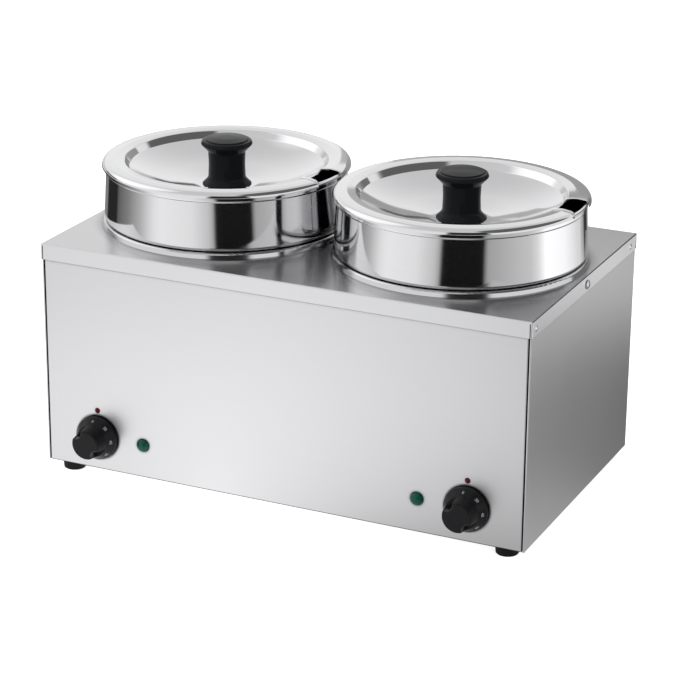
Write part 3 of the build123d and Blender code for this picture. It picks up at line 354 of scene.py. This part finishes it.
finishes = {
    "zinc_sheet": {"colour": (0.60, 0.61, 0.63), "metallic": 1, "roughness": 0.42, "grain": 160,
                   "tone": 0.12, "height": 0.00002},
    "fastener_steel": {"colour": (0.60, 0.60, 0.61), "metallic": 1, "roughness": 0.2, "grain": 900,
                       "tone": 0.06, "height": 0.00001,
                       # painted shade on the heads next to the sheet they sit on
                       "paintedSeamShade": {"reach": 0.003, "edge": (0.35, 0.8), "colour": (0.02,) * 3}},
    "element_sheath": {"colour": (0.16, 0.14, 0.13), "metallic": 1, "roughness": 0.5, "grain": 300,
                       "tone": 0.3, "height": 0.00004},
    "knob_plastic": {"colour": (0.007, 0.007, 0.008), "roughness": 0.27, "grain": 2200,
                     "tone": 0.2, "height": 0.00001, "specular": 0.12},
    "lid_knob_plastic": {"colour": (0.010, 0.0105, 0.012), "roughness": 0.16, "grain": 1600,
                         "tone": 0.15, "height": 0.000004, "specular": 0.05,
                         # painted shade in the knob's groove and where it meets the lid
                         "paintedSeamShade": {"reach": 0.003, "edge": (0.3, 0.8), "colour": (0.002,) * 3}},
    "case_plastic": {"colour": (0.62, 0.56, 0.44), "roughness": 0.5, "grain": 1200,
                     "tone": 0.05, "height": 0.00002},
    "lamp_plastic": {"colour": (0.02, 0.02, 0.02), "roughness": 0.4, "grain": 1500,
                     "tone": 0.2, "height": 0.00001},
    "lens_plastic": {"colour": (0.001, 0.048, 0.034), "roughness": 0.16, "grain": 700,
                     "tone": 0.25, "height": 0.00001, "specular": 0.22},
    "dot_plastic": {"colour": (0.060, 0.006, 0.009), "roughness": 0.4, "grain": 900,
                    "tone": 0.15, "height": 0.00001, "specular": 0.1},
    "copper": {"colour": (0.75, 0.38, 0.24), "metallic": 1, "roughness": 0.3, "grain": 500,
               "tone": 0.15, "height": 0.00001},
    "terminal_plastic": {"colour": (0.80, 0.79, 0.75), "roughness": 0.5, "grain": 1100,
                         "tone": 0.04, "height": 0.00002},
    "terminal_brass": {"colour": (0.76, 0.58, 0.28), "metallic": 1, "roughness": 0.3, "grain": 700,
                       "tone": 0.1, "height": 0.00001},
    "gland_plastic": {"colour": (0.018, 0.018, 0.02), "roughness": 0.45, "grain": 1400,
                      "tone": 0.2, "height": 0.00002},
    "foot_rubber": {"colour": (0.006, 0.006, 0.006), "roughness": 0.6, "grain": 1300,
                    "tone": 0.25, "height": 0.00004, "specular": 0.12},
}

plainSurface = {
    "grainShare": 0.6,          # the rest is wider patches
    "patches": 40,
    "roughnessSpread": 0.15,    # share of the finish's own roughness
    "bumpStrength": 0.5,
}


def plainFinish(name, look):
    material, tree, shader = newMaterial(name, look)
    place = addNode(tree, "ShaderNodeTexCoord")
    grain = noise(tree, place.outputs["Object"], look["grain"], detail=4)
    patches = noise(tree, place.outputs["Object"], plainSurface["patches"], detail=2)
    mixed = weighted(tree, grain, patches, plainSurface["grainShare"])
    low = look["roughness"] * (1 - plainSurface["roughnessSpread"])
    high = min(1, look["roughness"] * (1 + plainSurface["roughnessSpread"]))
    tree.links.new(spread(tree, mixed, low, high), shader.inputs["Roughness"])
    tint(tree, shader, look["colour"], mixed, look["tone"])
    # painted shade in seams and grooves
    if "paintedSeamShade" in look:
        paintSeamShade(tree, shader, look["paintedSeamShade"])
    bump(tree, shader, grain, plainSurface["bumpStrength"], look["height"])
    return material


materials = {name: plainFinish(name, look) for name, look in finishes.items()}
materials["housing_steel"] = brushedSteel("housing_steel", sheetSteel)
materials["cover_steel"] = brushedSteel("cover_steel", coverSteel)
potCentre = {}
for hand in hands:
    low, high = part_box(f"pot_{hand}")
    potCentre[hand] = ((low[0] + high[0]) / 2, (low[1] + high[1]) / 2)
    for slot, look in (("polished_steel", polishedSteel), ("well_steel", wellSteel)):
        materials[f"{slot}_{hand}"] = spunSteel(f"{slot}_{hand}", look, potCentre[hand])
print("materials made:", len(materials))


def dress(piece, material):
    piece.data.materials.clear()
    piece.data.materials.append(material)


slotOf = {entry["node"]: entry["material_slot"] for entry in frame["record"]["subparts"]}
for name, node in nodes.items():
    slot = slotOf[name]
    hand = "left" if name.endswith("left") else "right"
    dress(node, materials.get(slot) or materials[f"{slot}_{hand}"])
dress(nodes["top_cover"], materials["cover_steel"])
for hand in hands:
    dress(nodes[f"lid_knob_{hand}"], materials["lid_knob_plastic"])
print("nodes dressed")


# Turned sheet: an outline in millimetres, spun round an axis

arcStep = 3             # degrees between the points of a bend
crease = 35             # degrees, steeper edges stay sharp
weldDistance = 1e-7     # metres


def roundedLine(corners, radii):
    # straight runs between the corners, with an arc of the given radius at each inner one
    line = [Vector(corners[0])]
    for before, corner, after, radius in zip(corners, corners[1:], corners[2:], radii):
        corner = Vector(corner)
        back = (Vector(before) - corner).normalized()
        ahead = (Vector(after) - corner).normalized()
        half = back.angle(ahead) / 2
        middle = corner + (back + ahead).normalized() * radius / math.sin(half)
        first = corner + back * radius / math.tan(half) - middle
        side = 1 if back.x * ahead.y - back.y * ahead.x < 0 else -1
        sweep = side * (math.pi - 2 * half)
        steps = max(3, math.ceil(abs(sweep) / math.radians(arcStep)))
        for step in range(steps + 1):
            line.append(middle + Matrix.Rotation(sweep * step / steps, 2) @ first)
    line.append(Vector(corners[-1]))
    return line


def sheetSides(line, thickness):
    # the line moved by half the thickness to its left and to its right
    left, right = [], []
    for number, point in enumerate(line):
        before = line[max(number - 1, 0)]
        after = line[min(number + 1, len(line) - 1)]
        along = (after - before).normalized()
        out = Vector((-along.y, along.x)) * thickness / 2
        left.append(point + out)
        right.append(point - out)
    return left, right


def addPiece(name, data, body, material, replaced=()):
    piece = bpy.data.objects.new(name, data)
    bpy.context.scene.collection.objects.link(piece)
    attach(piece, body)
    if replaced:
        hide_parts(*replaced)
    dress(piece, material)
    return piece


def smooth(data, sharpFrom=crease):
    data.shade_smooth()
    data.set_sharp_from_angle(angle=math.radians(sharpFrom))


def meshOf(name, points, faces):
    # points in millimetres
    data = bpy.data.meshes.new(name)
    data.from_pydata([Vector(point) * mm for point in points], [], faces)
    return data


def weldedMesh(name, points, faces):
    data = meshOf(name, points, faces)
    welded = bmesh.new()
    welded.from_mesh(data)
    bmesh.ops.remove_doubles(welded, verts=welded.verts, dist=weldDistance)
    welded.to_mesh(data)
    welded.free()
    smooth(data)
    return data


def turnedMesh(name, outline, centre, segments=180):
    # outline of (radius, height) points, counter-clockwise, closed
    points, faces = [], []
    for turn in range(segments):
        angle = math.tau * turn / segments
        across, along = math.cos(angle), math.sin(angle)
        for radius, height in outline:
            points.append((centre[0] + radius * across, centre[1] + radius * along, height))
    size = len(outline)
    for turn in range(segments):
        here, there = turn * size, (turn + 1) % segments * size
        for number in range(size):
            after = (number + 1) % size
            faces.append((here + number, there + number, there + after, here + after))
    return weldedMesh(name, points, faces)


# Lids: sunk dish, steep step, crowned ring and turned-down rim, with a ladle notch

lidShape = {
    "sheet": 0.8,
    "hole": 2.6,              # radius, under the knob
    # radius and height above the seat, from the knob outwards
    "corners": [(31.0, 0.0), (80.1, 9.3), (102.5, 20.8), (107.1, 27.7), (116.6, 29.0),
                (130.2, 27.77)],
    "bends": [50, 140, 2.2, 2.0, 20, 5.6],      # radius of the bend at each corner
    "rimBottom": 22.45,
    "notchWidth": 38.0,
    "notchFloor": 99.5,       # from the lid's axis
    "notchFlare": 10.0,       # degrees, the front side opens outwards
    "notchCorner": 2.0,
    "notchTurn": {"left": -6.5, "right": 1.0},
    "cutOutwards": 12,        # of the cutter past the rim
    "cutBelow": 20,           # and past the seat
    "cutAbove": 60,
    "lip": 1.0,               # radius of the rolled edge
    "lipRise": 0.5,           # of its middle above the sheet
    "lipStep": 0.8,
    "lipCrease": 50,
}


def notchOutline(shape):
    # three sides of the notch seen from above, open towards the rim
    half = shape["notchWidth"] / 2
    floor = shape["notchFloor"]
    far = shape["corners"][-1][0] + shape["cutOutwards"]
    opened = (far - floor) * math.tan(math.radians(shape["notchFlare"]))
    corners = [(far, half), (floor, half), (floor, -half), (far, -half - opened)]
    return roundedLine(corners, [shape["notchCorner"]] * 2)


def cutOut(piece, outline, low, high):
    # takes a prism with this outline out of the piece
    count = len(outline)
    points = [(x, y, low) for x, y in outline] + [(x, y, high) for x, y in outline]
    faces = [tuple(range(count))[::-1], tuple(range(count, 2 * count))]
    faces += [(n, (n + 1) % count, (n + 1) % count + count, n + count) for n in range(count)]
    cutter = bpy.data.objects.new("cutter", meshOf("cutter", points, faces))
    bpy.context.scene.collection.objects.link(cutter)
    modifier = piece.modifiers.new("cut", "BOOLEAN")
    modifier.operation = "DIFFERENCE"
    modifier.solver = "EXACT"
    modifier.object = cutter
    seen = piece.evaluated_get(bpy.context.evaluated_depsgraph_get())
    piece.data = bpy.data.meshes.new_from_object(seen)
    piece.modifiers.remove(modifier)
    bpy.data.objects.remove(cutter)


def heightAt(side, radius):
    # height of the sheet's upper side at a radius
    for (innerRadius, innerHeight), (outerRadius, outerHeight) in zip(side, side[1:]):
        if innerRadius <= radius <= outerRadius:
            share = (radius - innerRadius) / max(outerRadius - innerRadius, 1e-9)
            return innerHeight + share * (outerHeight - innerHeight)
    return side[-1][1]


def addLidSheet(hand, shape, upper, lower, axis, outline):
    data = turnedMesh(f"lidSheet_{hand}", lower + upper[::-1], axis)
    material = materials[f"polished_steel_{hand}"]
    body = f"lid_{hand}"
    lid = addPiece(f"lidSheet_{hand}", data, body, material, [f"lid_{hand}"])
    seat = upper[0].y
    cutOut(lid, outline, seat - shape["cutBelow"], seat + shape["cutAbove"])
    smooth(lid.data)


def addNotchLip(hand, shape, upper, axis, outline):
    # round edge that follows the notch over the step and the ring
    path = []
    for first, second in zip(outline, outline[1:]):
        parts = max(1, round((second - first).length / shape["lipStep"]))
        for number in range(parts):
            point = first.lerp(second, number / parts)
            radius = (point - axis).length
            if radius <= shape["corners"][-1][0]:
                height = heightAt(upper, radius) + shape["lipRise"]
                path.append((point.x * mm, point.y * mm, height * mm, 1))
    rolled = bpy.data.curves.new("notchLip", "CURVE")
    rolled.dimensions = "3D"
    rolled.bevel_depth = shape["lip"] * mm
    rolled.bevel_resolution = 3
    rolled.use_fill_caps = True
    spline = rolled.splines.new("POLY")
    spline.points.add(len(path) - 1)
    for place, point in zip(spline.points, path):
        place.co = point
    holder = bpy.data.objects.new("notchLip", rolled)
    data = bpy.data.meshes.new_from_object(holder)
    bpy.data.objects.remove(holder)
    smooth(data, shape["lipCrease"])
    material = materials[f"polished_steel_{hand}"]
    addPiece(f"notchLip_{hand}", data, f"lid_{hand}", material)


def addLid(hand, shape):
    axis = Vector(potCentre[hand]) / mm
    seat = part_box(f"lid_{hand}")[0][2] / mm + shape["sheet"] / 2
    rim = (shape["corners"][-1][0], shape["rimBottom"])
    corners = [(shape["hole"], 0.0), *shape["corners"], rim]
    line = roundedLine([(radius, seat + rise) for radius, rise in corners], shape["bends"])
    upper, lower = sheetSides(line, shape["sheet"])
    turn = Matrix.Rotation(math.radians(shape["notchTurn"][hand]), 2)
    outline = [axis + turn @ point for point in notchOutline(shape)]
    addLidSheet(hand, shape, upper, lower, axis, outline)
    addNotchLip(hand, shape, upper, axis, outline)


for hand in hands:
    addLid(hand, lidShape)
print("lids made")


# Lid knobs: thin flared foot, straight stem, tapered cap with a grooved crown

lidKnobShape = {
    # radius and height above the lid, and the radius of the bend at each corner
    "corners": [(25.8, 0.0), (25.8, 0.5), (19.7, 7.0), (19.1, 22.0), (19.7, 35.6), (27.5, 43.8),
                (25.6, 47.3), (23.0, 47.6), (22.0, 48.9), (9.0, 50.0)],
    "bends": [0.1, 0.2, 7.5, 90, 1.6, 2.2, 1.0, 0.3, 0.6, 60],
    "height": 50.0,
    "segments": 120,
}


def addLidKnob(hand, shape):
    axis = potCentre[hand][0] / mm, potCentre[hand][1] / mm
    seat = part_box(f"lid_knob_{hand}")[0][2] / mm
    corners = [(0.0, 0.0), *shape["corners"], (0.0, shape["height"])]
    outline = roundedLine([(radius, seat + rise) for radius, rise in corners], shape["bends"])
    data = turnedMesh(f"lidKnob_{hand}", outline, axis, shape["segments"])
    material = materials["lid_knob_plastic"]
    body = f"lid_{hand}"
    addPiece(f"lidKnob_{hand}", data, body, material, [f"lid_knob_{hand}"])


for hand in hands:
    addLidKnob(hand, lidKnobShape)
print("lid knobs made")


# Cover screws: one dome head with a cross recess on each side

coverScrew = {
    # radius and height above the sheet, and the radius of the bend at each corner
    "corners": [(2.0, -6.0), (2.0, 0.0), (4.7, 0.0), (4.7, 0.75), (3.0, 2.05)],
    "bends": [0.1, 0.1, 0.15, 0.5, 4.0],
    "height": 2.3,
    "segments": 64,
    "recess": 2.4,         # half length of the cross
    "recessWidth": 0.95,
    "recessFloor": 0.9,
    "cutAbove": 5,
    "turn": 20.0,          # degrees
}


def crossOutline(reach, half):
    arm = [(reach, -half), (reach, half), (half, half)]
    outline = []
    for turn in range(4):
        rotation = Matrix.Rotation(math.radians(90 * turn), 2)
        outline += [rotation @ Vector(corner) for corner in arm]
    return outline


def screwHead(shape):
    corners = [(0.0, shape["corners"][0][1]), *shape["corners"], (0.0, shape["height"])]
    outline = roundedLine(corners, shape["bends"])
    data = turnedMesh("screwHead", outline, (0, 0), shape["segments"])
    head = bpy.data.objects.new("screwHead", data)
    bpy.context.scene.collection.objects.link(head)
    turn = Matrix.Rotation(math.radians(shape["turn"]), 2)
    cross = crossOutline(shape["recess"], shape["recessWidth"] / 2)
    top = shape["height"] + shape["cutAbove"]
    cutOut(head, [turn @ corner for corner in cross], shape["recessFloor"], top)
    data = head.data
    bpy.data.objects.remove(head)
    return data


def addCoverScrews(shape):
    low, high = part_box("cover_screws")
    middle = (low + high) / 2
    head = screwHead(shape)
    both = bmesh.new()
    for side, corner in zip((-1, 1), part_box("top_cover")):
        first = len(both.verts)
        both.from_mesh(head)
        both.verts.ensure_lookup_table()
        spot = Matrix.Translation((corner[0], middle[1], middle[2]))
        placed = spot @ Matrix.Rotation(math.pi / 2 * side, 4, "Y")
        bmesh.ops.transform(both, matrix=placed, verts=both.verts[first:])
    data = bpy.data.meshes.new("coverScrews")
    both.to_mesh(data)
    both.free()
    smooth(data)
    material = materials["fastener_steel"]
    addPiece("coverScrews", data, "housing", material, ["cover_screws"])


addCoverScrews(coverScrew)
print("cover screws made")


# Numbers printed on the skirts of the control knobs

dial = {
    "marks": ("0", "30", "40", "50", "60", "70", "80"),
    "firstAt": 92.0,       # degrees, counter-clockwise from the right, seen from the front
    "step": -45.0,
    "radius": 20.3,
    "out": 9.5,            # from the panel
    "tilt": 36.9,          # slope of the skirt's cone
    "height": 4.3,
    "thickness": 0.03,
    "bolder": 0.04,
    "ink": {"colour": (0.26, 0.27, 0.27), "roughness": 0.6, "grain": 3000,
            "tone": 0.25, "height": 0.00001},
}

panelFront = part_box("front_panel")[0][1]


def addDial(hand, look, material):
    low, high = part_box(f"control_knob_{hand}")
    centre = Vector(((low[0] + high[0]) / 2, panelFront, (low[2] + high[2]) / 2))
    for number, mark in enumerate(look["marks"]):
        angle = math.radians(look["firstAt"] + look["step"] * number)
        text = bpy.data.curves.new(f"dialMark_{hand}_{mark}", "FONT")
        text.body = mark
        text.align_x = "CENTER"
        text.align_y = "CENTER"
        text.size = look["height"] * mm
        text.extrude = look["thickness"] * mm
        text.offset = look["bolder"] * mm
        piece = addPiece(text.name, text, f"control_{hand}", material)
        across, up = math.cos(angle) * look["radius"], math.sin(angle) * look["radius"]
        spot = Vector((across, -look["out"], up)) * mm
        upright = Matrix.Rotation(math.radians(90), 4, "X")
        tilted = Matrix.Rotation(math.radians(look["tilt"] - 90), 4, "X")
        around = Matrix.Rotation(math.pi / 2 - angle, 4, "Y")
        piece.matrix_world = Matrix.Translation(centre + spot) @ around @ tilted @ upright


ink = plainFinish("dialInk", dial["ink"])
for hand in hands:
    addDial(hand, dial, ink)
print("dials printed")


# Floor and background: white for the camera, a dressed studio for the steel

studio = {
    # floor as the polished walls see it, by degrees round the object from the front
    "farFloor": {-180: 0.5, -166: 0.45, -157: 0.2, -115: 0.19, -113: 0.02, -93: 0.02,
                 -90: 0.12, -75: 0.24, -60: 0.48, -46: 0.84, -38: 0.92, -10: 0.84,
                 6: 0.6, 10: 0.4, 12: 0.006, 45: 0.006, 49: 0.4, 85: 0.62, 92: 0.8,
                 99: 1.2, 120: 1.1, 140: 0.75, 148: 0.65, 154: 0.35, 157: 0.03,
                 165: 0.03, 169: 0.2, 180: 0.5},
    "nearFloor": {-180: 0.5, -120: 0.3, -95: 0.4, -60: 1.0, -25: 1.2, 15: 0.88,
                  50: 0.5, 90: 0.35, 110: 0.22, 150: 0.1, 180: 0.2},
    "nearEdge": (0.55, 0.95),     # metres from the middle
    "farEdge": (2.4, 3.4),
    "openFloor": 0.8,
    "lowSky": 0.86,
    "highSky": 0.62,
    "skyHeight": (0.25, 0.9),
    "softBox": (-0.763, -0.067, 0.643),
    "softBoxEdge": (0.84, 0.95),
    "softBoxLevel": 0.45,
    "darkRight": (0.785, 0.069, 0.616),
    "darkRightEdge": (0.74, 0.82),
    "darkRightFoot": (0.38, 0.48),
    "darkLevel": 0.12,
    # share of the low sky's light, by the same degrees
    "columns": {-180: 1, -115: 0.6, -113: 0.1, -93: 0.1, -90: 0.6, -80: 1, 8: 1,
                12: 0.02, 45: 0.02, 49: 1, 180: 1},
    "columnTop": (0.10, 0.22),
    "tallColumn": {-180: 1, 8: 1, 12: 0.03, 45: 0.03, 49: 1, 180: 1},
    "tallColumnTop": (0.6, 0.75),
    "gain": 1.29,
    "ambient": 0.55,
    "floorHalf": 8,
    "floorColour": 0.82,
    "floorRoughness": 0.9,
    "floorGlow": 0.75,
    "brightest": 1.6,             # level that a colour ramp's white stands for
}

# upright screen behind, bright on the left and darker to the right
backScreen = {
    "from": (-0.45, 1.1, 0.05),
    "to": (1.4, 1.1, 0.69),
    "levels": {0.0: 0.6, 0.12: 0.44, 0.34: 0.4, 0.42: 0.22, 1.0: 0.22},
}


def stepped(tree, signal, levels):
    # level along a 0 to 1 signal, straight between the places given
    node = tree.nodes.new("ShaderNodeValToRGB")
    stops = node.color_ramp.elements
    while len(stops) > 1:
        stops.remove(stops[0])
    for number, (place, level) in enumerate(levels.items()):
        stop = stops[0] if number == 0 else stops.new(place)
        stop.position = place
        stop.color = (level / studio["brightest"],) * 3 + (1,)
    tree.links.new(signal, node.inputs["Fac"])
    return mathNode(tree, "MULTIPLY", node.outputs["Color"], studio["brightest"])


def fromDegrees(tree, angle, levels):
    # level by the angle in radians, from places given in degrees
    share = spread(tree, angle, 0, 1, -math.pi, math.pi)
    return stepped(tree, share, {degrees / 360 + 0.5: level for degrees, level in levels.items()})


def stagePlane(name, corners):
    data = bpy.data.meshes.new(name)
    data.from_pydata(corners, [], [(0, 1, 2, 3)])
    plane = bpy.data.objects.new(name, data)
    bpy.context.scene.collection.objects.link(plane)
    return plane


def paleFloor(look):
    half = look["floorHalf"]
    corners = [(-half, -half, 0), (half, -half, 0), (half, half, 0), (-half, half, 0)]
    floor = stagePlane("floor", corners)
    paint = {"colour": (look["floorColour"],) * 3, "roughness": look["floorRoughness"]}
    material, tree, shader = newMaterial("paleFloor", paint)
    shader.inputs["Emission Color"].default_value = (1, 1, 1, 1)
    shader.inputs["Emission Strength"].default_value = look["floorGlow"]
    place = addNode(tree, "ShaderNodeTexCoord")
    parts = addNode(tree, "ShaderNodeSeparateXYZ")
    tree.links.new(place.outputs["Object"], parts.inputs[0])
    forwards = mathNode(tree, "MULTIPLY", parts.outputs["Y"], -1.0)
    angle = mathNode(tree, "ARCTAN2", parts.outputs["X"], forwards)
    length = addNode(tree, "ShaderNodeVectorMath", operation="LENGTH")
    tree.links.new(place.outputs["Object"], length.inputs[0])
    distance = length.outputs["Value"]
    near = fromDegrees(tree, angle, look["nearFloor"])
    far = fromDegrees(tree, angle, look["farFloor"])
    level = blend(tree, eased(tree, distance, look["nearEdge"]), near, far)
    level = blend(tree, eased(tree, distance, look["farEdge"]), level, look["openFloor"])
    glow = addNode(tree, "ShaderNodeEmission")
    tree.links.new(mathNode(tree, "MULTIPLY", level, look["gain"]), glow.inputs["Strength"])
    path = addNode(tree, "ShaderNodeLightPath")
    either = addNode(tree, "ShaderNodeMixShader")
    tree.links.new(path.outputs["Is Glossy Ray"], either.inputs[0])
    tree.links.new(shader.outputs[0], either.inputs[1])
    tree.links.new(glow.outputs[0], either.inputs[2])
    tree.links.new(either.outputs[0], tree.nodes["Material Output"].inputs["Surface"])
    dress(floor, material)


def uprightScreen(look):
    low, high = look["from"], look["to"]
    corners = [low, (high[0], high[1], low[2]), high, (low[0], low[1], high[2])]
    screen = stagePlane("backScreen", corners)
    material, tree = newMaterial("backScreen", {"colour": (0, 0, 0), "roughness": 1})[:2]
    place = addNode(tree, "ShaderNodeTexCoord")
    parts = addNode(tree, "ShaderNodeSeparateXYZ")
    tree.links.new(place.outputs["Object"], parts.inputs[0])
    along = spread(tree, parts.outputs["X"], 0, 1, low[0], high[0])
    glow = addNode(tree, "ShaderNodeEmission")
    tree.links.new(stepped(tree, along, look["levels"]), glow.inputs["Strength"])
    tree.links.new(glow.outputs[0], tree.nodes["Material Output"].inputs["Surface"])
    dress(screen, material)
    screen.visible_camera = False
    screen.visible_diffuse = False
    screen.visible_shadow = False


def towards(tree, direction, aim):
    # 1 where the direction is the aim, less the further it is turned away
    node = addNode(tree, "ShaderNodeVectorMath", operation="DOT_PRODUCT")
    tree.links.new(direction, node.inputs[0])
    node.inputs[1].default_value = aim
    return node.outputs["Value"]


def studioSky(look):
    world = bpy.data.worlds.new("studio")
    bpy.context.scene.world = world
    world.use_nodes = True
    tree = world.node_tree
    place = addNode(tree, "ShaderNodeTexCoord")
    direction = place.outputs["Generated"]
    height = eased(tree, towards(tree, direction, (0, 0, 1)), look["skyHeight"])
    sky = blend(tree, height, look["lowSky"], look["highSky"])
    box = eased(tree, towards(tree, direction, look["softBox"]), look["softBoxEdge"])
    sky = mathNode(tree, "ADD", sky, mathNode(tree, "MULTIPLY", box, look["softBoxLevel"]))
    parts = addNode(tree, "ShaderNodeSeparateXYZ")
    tree.links.new(direction, parts.inputs[0])
    dark = eased(tree, towards(tree, direction, look["darkRight"]), look["darkRightEdge"])
    dark = mathNode(tree, "MULTIPLY", dark, eased(tree, parts.outputs["Z"], look["darkRightFoot"]))
    sky = blend(tree, dark, sky, look["darkLevel"])
    forwards = mathNode(tree, "MULTIPLY", parts.outputs["Y"], -1.0)
    angle = mathNode(tree, "ARCTAN2", parts.outputs["X"], forwards)
    column = mathNode(tree, "MULTIPLY", fromDegrees(tree, angle, look["columns"]), sky)
    sky = blend(tree, eased(tree, parts.outputs["Z"], look["columnTop"]), column, sky)
    flag = mathNode(tree, "MULTIPLY", fromDegrees(tree, angle, look["tallColumn"]), sky)
    sky = blend(tree, eased(tree, parts.outputs["Z"], look["tallColumnTop"]), flag, sky)
    sky = mathNode(tree, "MULTIPLY", sky, look["gain"])
    path = addNode(tree, "ShaderNodeLightPath")
    strength = blend(tree, path.outputs["Is Glossy Ray"], look["ambient"], sky)
    strength = blend(tree, path.outputs["Is Camera Ray"], strength, 1.0)
    tree.links.new(strength, tree.nodes["Background"].inputs["Strength"])
    tree.nodes["Background"].inputs["Color"].default_value = (1, 1, 1, 1)


lampAim = (0, 0, 0.2)
lamps = {
    "keyLeft": {"size": (1.6, 1.6), "location": (-2.2, -1.9, 2.3), "power": 70},
    "fillRight": {"size": (1.4, 1.4), "location": (2.6, -0.6, 1.9), "power": 22},
    "topBack": {"size": (2.2, 1.6), "location": (-0.6, 1.6, 2.6), "power": 30},
}


def areaLamp(name, look):
    data = bpy.data.lights.new(name, "AREA")
    data.shape = "RECTANGLE"
    data.size, data.size_y = look["size"]
    data.energy = look["power"]
    lamp = bpy.data.objects.new(name, data)
    bpy.context.scene.collection.objects.link(lamp)
    aim = Vector(lampAim) - Vector(look["location"])
    turned = aim.to_track_quat("-Z", "Y").to_matrix().to_4x4()
    lamp.matrix_world = Matrix.Translation(look["location"]) @ turned
    lamp.visible_glossy = False     # the steel sees the dressed studio instead


paleFloor(studio)
uprightScreen(backScreen)
studioSky(studio)
for name, look in lamps.items():
    areaLamp(name, look)
bpy.context.scene.view_settings.view_transform = "Standard"
print("studio lit")
